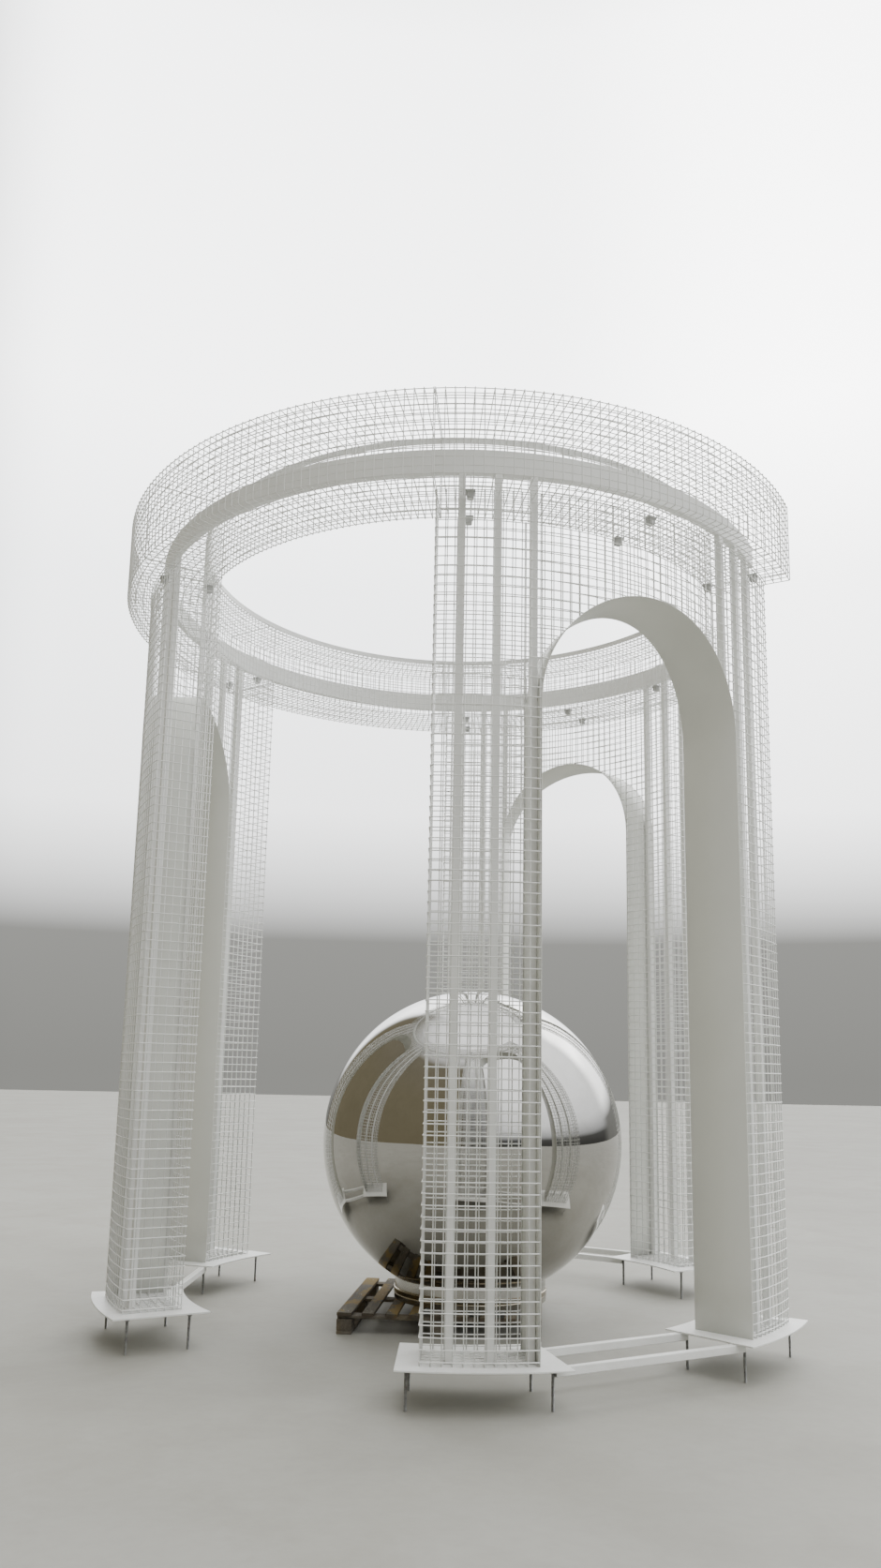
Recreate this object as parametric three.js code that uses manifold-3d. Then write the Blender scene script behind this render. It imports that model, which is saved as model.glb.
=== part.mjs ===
import * as THREE from 'three';
import { mergeVertices } from 'three/addons/utils/BufferGeometryUtils.js';
import Module from 'manifold-3d';

// Round garden pavilion of white welded wire mesh: three arch units stand on levelled base plates
// around a mirror-polished sphere, and a mesh canopy ring runs over two of the three open bays.
// Millimetres and degrees, +Z up, origin on the ground at the centre of the ring.

// Driving dimensions of the ring
const INNER_RADIUS = 1805;
const WALL_RADIUS = 2150;
const CANOPY_RADIUS = 2310;
const CANOPY_BOTTOM = 4600;
const CANOPY_TOP = 5100;
const PLATE_TOP = 200;
const UNIT_SPACING = 120;
const UNIT_AZIMUTHS = { a: -60, b: 60, c: 180 };
const BRIDGE_AZIMUTHS = { ac: 240, bc: 120 };

// Driving dimensions of an arch unit, as angles from its middle
const JAMB_ANGLE = 18;
const UNIT_END_ANGLE = 33.4;
const PIER_LINE_ANGLE = 30;
const PIER_END_OFFSET = 127.5;
const ARCH_SPRING = 3455;
const ARCH_RISE = 655;
const ARCH_STEPS = 20;

// Mesh shells: a coarse lattice stands for the 50 mm welded mesh
const SHELL = 8;
const BAR = 12;
const WINDOW_DEPTH = 8 * SHELL;
const CUT_OVERHANG = 50;
const WELD_DISTANCE = 1e-3;
const PIER_OUTER_COLUMNS = 2;
const PIER_INNER_COLUMNS = 1;
const PIER_ROWS = 9;
const SPANDREL_COLUMNS = 2;
const SPANDREL_SPLIT = 1.2;
const SPANDREL_FOOT = 3600;
const UNIT_COLUMNS = 6;
const BRIDGE_COLUMNS = 5;

// Steelwork
const LINING_THICKNESS = 4;
const LINING_FACETS = 10;
const POST_SIZE = 40;
const POST_RADIUS = 2058;
const POST_ANGLES = [18.7, 24.15, 29.6];
const BEAM_BOTTOM = 4730;
const BEAM_HEIGHT = 140;
const BEAM_WIDTH = 40;
const RIM_HEIGHT = 38;
const RIM_THICKNESS = 6;
const BRACKET_SIZE = 46;
const BRACKET_ANGLE = 28.4;
const BRACKET_INSET = 12;
const TIE_SIZE = 40;
const JOINT_GAP = 0.3;

// Base plates and levelling rods
const PLATE_THICKNESS = 8;
const PLATE_INNER_RADIUS = 1690;
const PLATE_OUTER_RADIUS = 2230;
const PLATE_START_ANGLE = 14.3;
const PLATE_END_OFFSET = 235;
const PLATE_FACETS = 5;
const ROD_DIAMETER = 16;
const ROD_SIDES = 8;
const ROD_RADII = [1787, 2134];
const ROD_START_ANGLE = 16.3;
const ROD_END_OFFSET = 182;

// Sphere, its collar and the pallet under it
const SPHERE_RADIUS = 977;
const SPHERE_CENTRE = new THREE.Vector2(130, -20);
const SPHERE_BANDS = { belowSeat: 3, aboveSeat: 17 };
const COLLAR_RADIUS = 485;
const COLLAR_HEIGHT = 130;
const COLLAR_THICKNESS = 12;
const COLLAR_RIM_CHAMFER = 8;
const COLLAR_FOOT_FLARE = 4;
const COLLAR_LIP = { flare: 9, bottom: 64, top: 70 };
const ROUND_SEGMENTS = 36;
const PALLET_CENTRE = new THREE.Vector2(-20, -60);
const PALLET_TURN = -4;
const PALLET_WIDTH = 1220;
const PALLET_LENGTH = 1180;
const PALLET_HEIGHT = 125;
const DECK_BOARDS = 9;
const DECK_EDGE_BOARD = 92;
const DECK_BOARD = 74;
const DECK_THICKNESS = 20;
const STRINGER_THICKNESS = 18;
const STRINGER_WIDTH = 95;
const BLOCK_WIDTH = 92;
const BLOCK_LENGTH = 140;
const FOOT_THICKNESS = 20;

const wasm = await Module();
wasm.setup();

const radians = THREE.MathUtils.degToRad;

function solidOf(geometry) {
  const bare = geometry.index ? geometry.toNonIndexed() : geometry.clone();
  bare.deleteAttribute('normal');
  bare.deleteAttribute('uv');
  const merged = mergeVertices(bare, WELD_DISTANCE);
  return new wasm.Manifold(new wasm.Mesh({
    numProp: 3,
    vertProperties: new Float32Array(merged.attributes.position.array),
    triVerts: new Uint32Array(merged.index.array),
  }));
}

function geometryOf(solid) {
  const mesh = solid.getMesh();
  const geometry = new THREE.BufferGeometry();
  const positions = new Float32Array(mesh.vertProperties);
  geometry.setAttribute('position', new THREE.BufferAttribute(positions, 3));
  geometry.setIndex(new THREE.BufferAttribute(new Uint32Array(mesh.triVerts), 1));
  return geometry;
}

function united(solids) {
  return solids.reduce((whole, solid) => whole.add(solid));
}

// A pier's solids are made for the left pier of a unit and mirrored for the right one
function onSide(solid, side) {
  return side > 0 ? solid : solid.mirror([0, 1, 0]);
}

// A pier's free end lies parallel to the line from the centre of the ring at PIER_LINE_ANGLE, at
// the given distance beyond it: the angle at which that end meets a circle
function endAngle(offset, radius) {
  return PIER_LINE_ANGLE + THREE.MathUtils.radToDeg(Math.asin(offset / radius));
}

// Ring sector with flat facets between equally spaced angles
function sector(inner, outer, from, to, bottom, top, facets = 1, innerTo = to) {
  const shape = new THREE.Shape();
  const corner = (radius, end, step) => {
    const angle = radians(from + ((end - from) * step) / facets);
    return [radius * Math.cos(angle), radius * Math.sin(angle)];
  };
  shape.moveTo(...corner(outer, to, 0));
  for (let step = 1; step <= facets; step += 1) shape.lineTo(...corner(outer, to, step));
  for (let step = facets; step >= 0; step -= 1) shape.lineTo(...corner(inner, innerTo, step));
  shape.closePath();
  const geometry = new THREE.ExtrudeGeometry(shape, { depth: top - bottom, bevelEnabled: false });
  return geometry.translate(0, 0, bottom);
}

// Upright box: depth along the radius, width across it, its middle offset from that radius
function radialBox(radius, angle, depth, width, bottom, top, offset = 0) {
  const geometry = new THREE.BoxGeometry(depth, width, top - bottom);
  geometry.translate(radius, offset, (bottom + top) / 2);
  return geometry.rotateZ(radians(angle));
}

// Solid that fills the arch opening, grown by a margin, from a foot height up; its flat outline
// (arc length at the wall's outer face, height) is wrapped round the axis. The foot is one chord,
// so its outer radius is raised until the chord clears the wall.
function archFill(margin, foot) {
  const half = radians(JAMB_ANGLE) * WALL_RADIUS + margin;
  const rise = ARCH_RISE + margin;
  const outline = [new THREE.Vector2(-half, foot), new THREE.Vector2(half, foot)];
  for (let step = 0; step <= ARCH_STEPS; step += 1) {
    const turn = (Math.PI * step) / ARCH_STEPS;
    outline.push(new THREE.Vector2(half * Math.cos(turn), ARCH_SPRING + rise * Math.sin(turn)));
  }
  const inner = INNER_RADIUS - CUT_OVERHANG;
  const outer = (WALL_RADIUS + CUT_OVERHANG) / Math.cos(half / WALL_RADIUS);
  const settings = { depth: outer - inner, bevelEnabled: false };
  const geometry = new THREE.ExtrudeGeometry(new THREE.Shape(outline), settings);
  const position = geometry.attributes.position;
  for (let i = 0; i < position.count; i += 1) {
    const angle = position.getX(i) / WALL_RADIUS;
    const radius = inner + position.getZ(i);
    const height = position.getY(i);
    position.setXYZ(i, radius * Math.cos(angle), radius * Math.sin(angle), height);
  }
  return solidOf(geometry);
}

// Openings through a curved mesh face: one box for each facet and row
function faceWindows(radius, from, to, columns, bottom, top, rows) {
  const pitch = (to - from) / columns;
  const width = 2 * radius * Math.sin(radians(pitch / 2)) - BAR;
  const height = (top - bottom) / rows;
  const windows = [];
  for (let column = 0; column < columns; column += 1) {
    for (let row = 0; row < rows; row += 1) {
      const low = bottom + row * height + BAR / 2;
      const angle = from + (column + 0.5) * pitch;
      windows.push(solidOf(radialBox(radius, angle, WINDOW_DEPTH, width, low, low + height - BAR)));
    }
  }
  return united(windows);
}

// Openings through a flat end face that lies along a radius, or beside it by an offset
function endWindows(inner, outer, angle, bottom, top, rows, offset = 0) {
  const height = (top - bottom) / rows;
  const middle = (inner + outer) / 2;
  const depth = outer - inner - 2 * BAR;
  const windows = [];
  for (let row = 0; row < rows; row += 1) {
    const low = bottom + row * height + BAR / 2;
    windows.push(solidOf(radialBox(middle, angle, depth, WINDOW_DEPTH, low, low + height - BAR,
      offset)));
  }
  return united(windows);
}

// Openings through a level mesh face, between two radii
function levelWindows(inner, outer, from, to, columns, height) {
  const pitch = (to - from) / columns;
  const inset = THREE.MathUtils.radToDeg(BAR / 2 / outer);
  const windows = [];
  for (let column = 0; column < columns; column += 1) {
    const start = from + column * pitch;
    windows.push(solidOf(sector(inner, outer, start + inset, start + pitch - inset,
      height - 2 * SHELL, height + 2 * SHELL)));
  }
  return united(windows);
}

// Slab along a radial end face, one shell thick, that goes on past the end
function endSlab(angle, inwards, bottom, top) {
  const turn = THREE.MathUtils.radToDeg(SHELL / CANOPY_RADIUS) * inwards;
  const past = angle - inwards;
  const [from, to] = inwards > 0 ? [past, angle + turn] : [angle + turn, past];
  return solidOf(sector(INNER_RADIUS - CUT_OVERHANG, CANOPY_RADIUS + CUT_OVERHANG, from, to,
    bottom, top));
}

// Two joint brackets under the canopy, one on each face of the wall; the inset brings the inner
// one to the flat facet of a face that has few columns
function brackets(angle, inset) {
  const half = BRACKET_SIZE / 2;
  const radii = [INNER_RADIUS - inset + half, WALL_RADIUS - (3 * SHELL) / 4 - half];
  return radii.map((radius) => solidOf(radialBox(radius, angle, BRACKET_SIZE, BRACKET_SIZE,
    CANOPY_BOTTOM - BRACKET_SIZE, CANOPY_BOTTOM)));
}

// Mesh cage of a pier: outer face, inner face and flat end face in one piece
function pierMesh(side) {
  const gap = THREE.MathUtils.radToDeg((LINING_THICKNESS + 2 * JOINT_GAP) / WALL_RADIUS);
  const from = JAMB_ANGLE + gap;
  const outerEnd = endAngle(PIER_END_OFFSET, WALL_RADIUS);
  const innerEnd = endAngle(PIER_END_OFFSET, INNER_RADIUS);
  const levels = [PLATE_TOP, CANOPY_BOTTOM];
  const core = solidOf(sector(INNER_RADIUS, WALL_RADIUS, from, outerEnd, ...levels, 1, innerEnd));
  const slab = solidOf(radialBox((INNER_RADIUS + WALL_RADIUS) / 2, PIER_LINE_ANGLE,
    WALL_RADIUS - INNER_RADIUS + 2 * CUT_OVERHANG, SHELL, ...levels, PIER_END_OFFSET - SHELL / 2));
  const faces = [
    solidOf(sector(WALL_RADIUS - SHELL, WALL_RADIUS, from, outerEnd, ...levels,
      PIER_OUTER_COLUMNS)),
    solidOf(sector(INNER_RADIUS, INNER_RADIUS + SHELL, from, innerEnd, ...levels,
      PIER_INNER_COLUMNS)),
    core.intersect(slab),
  ];
  const windows = [
    faceWindows(WALL_RADIUS, from, outerEnd, PIER_OUTER_COLUMNS, ...levels, PIER_ROWS),
    faceWindows(INNER_RADIUS, from, innerEnd, PIER_INNER_COLUMNS, ...levels, PIER_ROWS),
    endWindows(INNER_RADIUS, WALL_RADIUS, PIER_LINE_ANGLE, ...levels, PIER_ROWS, PIER_END_OFFSET),
  ];
  const cage = faces.map((face, i) => face.subtract(windows[i]));
  return geometryOf(onSide(united([...cage, ...brackets(BRACKET_ANGLE, BRACKET_INSET)]), side));
}

// Mesh over one half of the arch: outer and inner faces joined by the level strip at the top. The
// halves meet just beside the crown, and the one with the crown carries the brackets there.
function spandrelMesh(side) {
  const end = JAMB_ANGLE + THREE.MathUtils.radToDeg(LINING_THICKNESS / WALL_RADIUS);
  const gap = THREE.MathUtils.radToDeg(JOINT_GAP / 2 / INNER_RADIUS);
  const [from, to] = side > 0 ? [SPANDREL_SPLIT + gap, end] : [-end, SPANDREL_SPLIT - gap];
  const row = (CANOPY_BOTTOM - PLATE_TOP) / PIER_ROWS;
  const lowest = CANOPY_BOTTOM - 2 * row;
  const face = (inner, outer, bottom) => solidOf(sector(inner, outer, from, to,
    bottom, CANOPY_BOTTOM, SPANDREL_COLUMNS));
  const body = united([
    face(WALL_RADIUS - SHELL, WALL_RADIUS, SPANDREL_FOOT),
    face(INNER_RADIUS, INNER_RADIUS + SHELL, SPANDREL_FOOT),
    face(INNER_RADIUS, WALL_RADIUS, CANOPY_BOTTOM - SHELL),
  ]);
  const opening = (margin) => archFill(LINING_THICKNESS + margin, ARCH_SPRING - CUT_OVERHANG);
  const windows = united([
    faceWindows(WALL_RADIUS, from, to, SPANDREL_COLUMNS, lowest, CANOPY_BOTTOM, 2),
    faceWindows(INNER_RADIUS, from, to, SPANDREL_COLUMNS, lowest, CANOPY_BOTTOM, 2),
  ]).subtract(opening(JOINT_GAP + BAR));
  const strip = levelWindows(INNER_RADIUS + BAR, WALL_RADIUS - BAR, from, to,
    SPANDREL_COLUMNS, CANOPY_BOTTOM);
  const lattice = body.subtract(opening(JOINT_GAP)).subtract(windows).subtract(strip);
  return geometryOf(side > 0 ? lattice : united([lattice, ...brackets(0, 0)]));
}

// Plain sheet that lines the jambs and the underside of the arch
function archLining() {
  const wall = solidOf(sector(INNER_RADIUS, WALL_RADIUS, -JAMB_ANGLE - 1, JAMB_ANGLE + 1,
    PLATE_TOP, CANOPY_BOTTOM, LINING_FACETS));
  const foot = PLATE_TOP - CUT_OVERHANG;
  return geometryOf(wall.intersect(archFill(LINING_THICKNESS, foot)).subtract(archFill(0, foot)));
}

// Mesh box of the canopy
function canopyMesh(half, columns) {
  const end = half - THREE.MathUtils.radToDeg(JOINT_GAP / 2 / INNER_RADIUS);
  const levels = [CANOPY_BOTTOM, CANOPY_TOP];
  const body = solidOf(sector(INNER_RADIUS, CANOPY_RADIUS, -end, end, ...levels, columns));
  const hollow = solidOf(sector(INNER_RADIUS + SHELL, CANOPY_RADIUS - SHELL, -end, end,
    CANOPY_BOTTOM + SHELL, CANOPY_TOP - SHELL, columns))
    .subtract(endSlab(end, -1, ...levels))
    .subtract(endSlab(-end, 1, ...levels));
  const windows = united([
    faceWindows(CANOPY_RADIUS, -end, end, columns, ...levels, 1),
    faceWindows(INNER_RADIUS, -end, end, columns, ...levels, 1),
    levelWindows(INNER_RADIUS + BAR, CANOPY_RADIUS - BAR, -end, end, columns, CANOPY_TOP),
    levelWindows(INNER_RADIUS + BAR, WALL_RADIUS - BAR, -end, end, columns, CANOPY_BOTTOM),
    levelWindows(WALL_RADIUS, CANOPY_RADIUS - BAR, -end, end, columns, CANOPY_BOTTOM),
    endWindows(INNER_RADIUS, CANOPY_RADIUS, end, ...levels, 1),
    endWindows(INNER_RADIUS, CANOPY_RADIUS, -end, ...levels, 1),
  ]);
  return geometryOf(body.subtract(hollow).subtract(windows));
}

// Base plate with its three posts and four levelling rods
function baseFrame(side) {
  const middle = PLATE_TOP - PLATE_THICKNESS / 2;
  const plate = solidOf(sector(PLATE_INNER_RADIUS, PLATE_OUTER_RADIUS, PLATE_START_ANGLE,
    endAngle(PLATE_END_OFFSET, PLATE_OUTER_RADIUS), PLATE_TOP - PLATE_THICKNESS, PLATE_TOP,
    PLATE_FACETS, endAngle(PLATE_END_OFFSET, PLATE_INNER_RADIUS)));
  const posts = POST_ANGLES.map((angle) => solidOf(radialBox(POST_RADIUS, angle,
    POST_SIZE, POST_SIZE, middle, BEAM_BOTTOM)));
  const rods = ROD_RADII.flatMap((radius) => {
    const angles = [ROD_START_ANGLE, endAngle(ROD_END_OFFSET, radius)];
    return angles.map((angle) => {
      const rod = new THREE.CylinderGeometry(ROD_DIAMETER / 2, ROD_DIAMETER / 2, middle, ROD_SIDES);
      rod.rotateX(Math.PI / 2).translate(radius, 0, middle / 2).rotateZ(radians(angle));
      return solidOf(rod);
    });
  });
  return geometryOf(onSide(united([plate, ...posts, ...rods]), side));
}

// Straight square tube under the two plates of a unit, from rod to rod
function tieBar(radius) {
  const angle = radians(ROD_START_ANGLE);
  const length = 2 * (radius * Math.sin(angle) - ROD_DIAMETER / 2 - JOINT_GAP);
  const top = PLATE_TOP - PLATE_THICKNESS;
  const geometry = new THREE.BoxGeometry(TIE_SIZE, length, TIE_SIZE);
  return geometry.translate(radius * Math.cos(angle), 0, top - TIE_SIZE / 2);
}

function ringBeam(half, facets) {
  const end = half - THREE.MathUtils.radToDeg(JOINT_GAP / 2 / POST_RADIUS);
  return sector(POST_RADIUS - BEAM_WIDTH / 2, POST_RADIUS + BEAM_WIDTH / 2, -end, end,
    BEAM_BOTTOM, BEAM_BOTTOM + BEAM_HEIGHT, facets);
}

function topRim(half, columns) {
  const end = half - THREE.MathUtils.radToDeg(JOINT_GAP / 2 / INNER_RADIUS);
  return sector(INNER_RADIUS - RIM_THICKNESS - JOINT_GAP, INNER_RADIUS - JOINT_GAP, -end, end,
    CANOPY_TOP - RIM_HEIGHT, CANOPY_TOP, columns);
}

function turned(points) {
  return new THREE.LatheGeometry(points, ROUND_SEGMENTS).rotateX(Math.PI / 2);
}

// Sphere profile with a ring of corners exactly where the collar carries it
function mirrorSphere() {
  const seat = Math.asin((COLLAR_RADIUS - JOINT_GAP) / SPHERE_RADIUS);
  const { belowSeat, aboveSeat } = SPHERE_BANDS;
  const points = [];
  const add = (angle) => points.push(new THREE.Vector2(Math.sin(angle), -Math.cos(angle))
    .multiplyScalar(SPHERE_RADIUS));
  for (let step = 0; step < belowSeat; step += 1) add((seat * step) / belowSeat);
  for (let step = 0; step <= aboveSeat; step += 1) add(seat + ((Math.PI - seat) * step) / aboveSeat);
  points[0].x = 0;
  points[points.length - 1].x = 0;
  return turned(points);
}

function sphereCollar() {
  const inner = COLLAR_RADIUS - COLLAR_THICKNESS;
  const profile = [
    [inner, 0],
    [COLLAR_RADIUS + COLLAR_FOOT_FLARE, 0],
    [COLLAR_RADIUS + COLLAR_LIP.flare, COLLAR_LIP.bottom],
    [COLLAR_RADIUS, COLLAR_LIP.top],
    [COLLAR_RADIUS, COLLAR_HEIGHT],
    [inner, COLLAR_HEIGHT - COLLAR_RIM_CHAMFER],
  ];
  const points = profile.map(([radius, height]) => new THREE.Vector2(radius, height));
  return turned([...points, points[0]]);
}

function board(width, length, thickness, x, y, bottom) {
  const geometry = new THREE.BoxGeometry(width, length, thickness);
  return solidOf(geometry.translate(x, y, bottom + thickness / 2));
}

// Wooden pallet: deck boards on cross boards, nine blocks and three foot boards
function pallet() {
  const solids = [];
  const deckBottom = PALLET_HEIGHT - DECK_THICKNESS;
  const stringerBottom = deckBottom - STRINGER_THICKNESS;
  const edge = (PALLET_WIDTH - DECK_EDGE_BOARD) / 2;
  for (let i = 0; i < DECK_BOARDS; i += 1) {
    const width = i === 0 || i === DECK_BOARDS - 1 ? DECK_EDGE_BOARD : DECK_BOARD;
    const x = -edge + (2 * edge * i) / (DECK_BOARDS - 1);
    solids.push(board(width, PALLET_LENGTH, DECK_THICKNESS, x, 0, deckBottom));
  }
  for (const row of [-1, 0, 1]) {
    const y = (row * (PALLET_LENGTH - BLOCK_LENGTH)) / 2;
    solids.push(board(PALLET_WIDTH, STRINGER_WIDTH, STRINGER_THICKNESS, 0, y, stringerBottom));
    for (const column of [-1, 0, 1]) {
      const height = stringerBottom - FOOT_THICKNESS;
      const x = (column * (PALLET_WIDTH - BLOCK_WIDTH)) / 2;
      solids.push(board(BLOCK_WIDTH, BLOCK_LENGTH, height, x, y, FOOT_THICKNESS));
    }
  }
  for (const column of [-1, 0, 1]) {
    const x = (column * (PALLET_WIDTH - BLOCK_WIDTH)) / 2;
    solids.push(board(BLOCK_WIDTH, PALLET_LENGTH, FOOT_THICKNESS, x, 0, 0));
  }
  return geometryOf(united(solids));
}

const paint = { color: 0xe4e5e1, roughness: 0.5, metalness: 0.0 };
const liningPaint = { color: 0xcfcfc6, roughness: 0.55, metalness: 0.0 };
const mirror = { color: 0xd8dadb, roughness: 0.04, metalness: 1.0 };
const timber = { color: 0x7a6f5c, roughness: 0.9, metalness: 0.0 };

function piece(name, geometry, look) {
  const mesh = new THREE.Mesh(geometry, new THREE.MeshStandardMaterial(look));
  mesh.name = name;
  return mesh;
}

function archUnit(letter, azimuth) {
  const unit = new THREE.Group();
  const name = (what) => `arch_${letter}_${what}`;
  for (const [word, side] of [['right', -1], ['left', 1]]) {
    unit.add(piece(name(`${word}_base_frame`), baseFrame(side), paint));
    unit.add(piece(name(`${word}_pier_mesh`), pierMesh(side), paint));
    unit.add(piece(name(`${word}_spandrel_mesh`), spandrelMesh(side), paint));
  }
  unit.add(piece(name('lining'), archLining(), liningPaint));
  unit.add(piece(name('inner_tie_bar'), tieBar(ROD_RADII[0]), paint));
  unit.add(piece(name('outer_tie_bar'), tieBar(ROD_RADII[1]), paint));
  unit.add(piece(name('ring_beam'), ringBeam(UNIT_END_ANGLE, 2 * UNIT_COLUMNS), paint));
  unit.add(piece(name('canopy_mesh'), canopyMesh(UNIT_END_ANGLE, UNIT_COLUMNS), paint));
  unit.add(piece(name('top_rim'), topRim(UNIT_END_ANGLE, UNIT_COLUMNS), paint));
  unit.rotation.z = radians(azimuth);
  return unit;
}

function bridge(letters, azimuth) {
  const group = new THREE.Group();
  const half = UNIT_SPACING / 2 - UNIT_END_ANGLE;
  const name = (what) => `bridge_${letters}_${what}`;
  group.add(piece(name('ring_beam'), ringBeam(half, 2 * BRIDGE_COLUMNS), paint));
  group.add(piece(name('canopy_mesh'), canopyMesh(half, BRIDGE_COLUMNS), paint));
  group.add(piece(name('top_rim'), topRim(half, BRIDGE_COLUMNS), paint));
  group.rotation.z = radians(azimuth);
  return group;
}

function sphereStand() {
  const stand = new THREE.Group();
  const sphere = piece('mirror_sphere', mirrorSphere(), mirror);
  const rise = Math.sqrt(SPHERE_RADIUS ** 2 - (COLLAR_RADIUS - JOINT_GAP) ** 2);
  const centreHeight = PALLET_HEIGHT + COLLAR_HEIGHT + JOINT_GAP + rise;
  sphere.position.set(SPHERE_CENTRE.x, SPHERE_CENTRE.y, centreHeight);
  const collar = piece('sphere_collar', sphereCollar(), mirror);
  collar.position.set(SPHERE_CENTRE.x, SPHERE_CENTRE.y, PALLET_HEIGHT);
  const base = piece('pallet', pallet(), timber);
  base.position.set(PALLET_CENTRE.x, PALLET_CENTRE.y, 0);
  base.rotation.z = radians(PALLET_TURN);
  stand.add(sphere, collar, base);
  return stand;
}

const pavilion = new THREE.Group();
for (const [letter, azimuth] of Object.entries(UNIT_AZIMUTHS)) {
  pavilion.add(archUnit(letter, azimuth));
}
for (const [letters, azimuth] of Object.entries(BRIDGE_AZIMUTHS)) {
  pavilion.add(bridge(letters, azimuth));
}
pavilion.add(sphereStand());

export default pavilion;
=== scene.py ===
import math
import random

import bpy
import numpy as np
from mathutils import Matrix, Vector, noise


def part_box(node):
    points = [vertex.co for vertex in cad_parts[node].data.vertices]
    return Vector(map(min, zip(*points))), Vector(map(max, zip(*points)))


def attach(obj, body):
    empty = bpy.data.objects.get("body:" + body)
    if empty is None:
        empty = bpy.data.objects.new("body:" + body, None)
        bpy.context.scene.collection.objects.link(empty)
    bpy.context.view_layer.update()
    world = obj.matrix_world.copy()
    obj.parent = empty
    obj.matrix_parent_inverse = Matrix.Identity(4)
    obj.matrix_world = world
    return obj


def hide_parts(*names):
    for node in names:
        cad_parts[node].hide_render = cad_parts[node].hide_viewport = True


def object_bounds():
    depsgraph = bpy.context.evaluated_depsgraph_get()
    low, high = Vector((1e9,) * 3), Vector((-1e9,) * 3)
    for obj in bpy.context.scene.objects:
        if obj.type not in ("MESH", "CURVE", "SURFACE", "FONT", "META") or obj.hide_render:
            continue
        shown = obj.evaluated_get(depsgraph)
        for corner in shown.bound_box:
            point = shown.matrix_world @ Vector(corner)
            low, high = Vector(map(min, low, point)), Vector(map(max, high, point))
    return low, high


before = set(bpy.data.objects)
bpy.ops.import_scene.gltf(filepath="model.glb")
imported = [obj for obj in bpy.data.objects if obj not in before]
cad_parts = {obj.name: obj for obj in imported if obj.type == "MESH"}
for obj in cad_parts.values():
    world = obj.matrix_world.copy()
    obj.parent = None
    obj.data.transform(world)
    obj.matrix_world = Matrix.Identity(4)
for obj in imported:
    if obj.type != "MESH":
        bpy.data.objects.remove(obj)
cad_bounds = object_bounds()

# Driving dimensions of the ring, in metres and degrees
INNER_RADIUS = 1.805
WALL_RADIUS = 2.150
CANOPY_RADIUS = min(abs(cad_bounds[0][1]), cad_bounds[1][1])
CANOPY_BOTTOM = 4.600
CANOPY_TOP = 5.100
PLATE_TOP = 0.200
UNIT_AZIMUTHS = {"a": -60.0, "b": 60.0, "c": 180.0}
BRIDGE_AZIMUTHS = {"ac": 240.0, "bc": 120.0}
FREE_ENDS = {"a": (1,), "b": (-1,), "c": ()}
JAMB_ANGLE = 18.0
UNIT_END_ANGLE = 33.4
PIER_LINE_ANGLE = 30.0
PIER_END_OFFSET = 0.1275
BRIDGE_HALF_ANGLE = 60.0 - UNIT_END_ANGLE
ARCH_SPRING = 3.455
ARCH_RISE = 0.655
LINING_THICKNESS = 0.004

# Welded mesh: crossing wires sink into each other by FUSE, and turns are rounded over BEND
WIRE = 0.006
WIRE_SIDES = 6
FUSE = 0.0006
BEND = 0.006
BEND_DEPTH = 0.42
WALL_ROWS = 81
FIRST_ROW = 0.020
PIER_OUTER_CELLS = 11
PIER_INNER_CELLS = 9
PIER_END_CELLS = 7
SPANDREL_OUTER_CELLS = 26
SPANDREL_INNER_CELLS = 21
UNIT_CELLS = 51
BRIDGE_CELLS = 41
CANOPY_ROWS = 10
CANOPY_RINGS = 10
SHORTEST_WIRE = 0.1

# Steelwork
POST_SIZE = 0.040
POST_RADIUS = 2.058
POST_ANGLES = (18.7, 24.15, 29.6)
BEAM_BOTTOM = 4.730
BEAM_HEIGHT = 0.140
BEAM_WIDTH = 0.040
TUBE_WALL = 0.004
RIM_HEIGHT = 0.038
RIM_THICKNESS = 0.006
BRACKET_WIDTH = 0.054
BRACKET_ANGLE = 28.4
TIE_SIZE = 0.040
PLATE_THICKNESS = 0.008
PLATE_RADII = (1.690, 2.230)
PLATE_START_ANGLE = 14.3
PLATE_END_OFFSET = 0.235
ROD_DIAMETER = 0.016
ROD_PITCH = 0.002
ROD_RADII = (1.787, 2.134)
ROD_START_ANGLE = 16.3
ROD_END_OFFSET = 0.182
JOINT_GAP = 0.0003

# Edges and small parts of the steelwork, with SWEEP_STEP in degrees
BEVEL = 0.001
LINING_BEVEL = 0.0008
PLATE_STEPS = 24
SWEEP_STEP = 1.4
LINING_JAMB_STEPS = 12
LINING_ARCH_STEPS = 72
POST_ROUNDING = 0.004
PAD_WIDTH = 0.050
PAD_HEIGHT = 0.005
PAD_ROUNDINGS = (0.006, 0.003)
TIE_ROUNDINGS = (0.004, 0.002)
BEAM_ROUNDINGS = (0.005, 0.003)
POCKET_DEPTH = 0.08
THREAD_DEPTH = 0.0011
THREAD_SIDES = 12
THREAD_FLANK = 0.98
NUT_ACROSS = 0.024
NUT_HEIGHT = 0.013
NUT_BEVEL = 0.0015
NUT_FACE = 0.96
WASHER_RADIUS = 0.020
WASHER_THICKNESS = 0.003
WASHER_BEVEL = 0.0005
WASHER_SIDES = 28

# A joint stub's widths and depths under the canopy: a clamp plate, then a block that narrows
BRACKET_LEVELS = ((0.052, 0.0), (BRACKET_WIDTH, 0.0015), (BRACKET_WIDTH, 0.0105), (0.051, 0.012),
                  (0.042, 0.0125), (0.040, 0.038), (0.036, 0.042), (0.030, 0.044))
BRACKET_ROUNDING = 0.006

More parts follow.
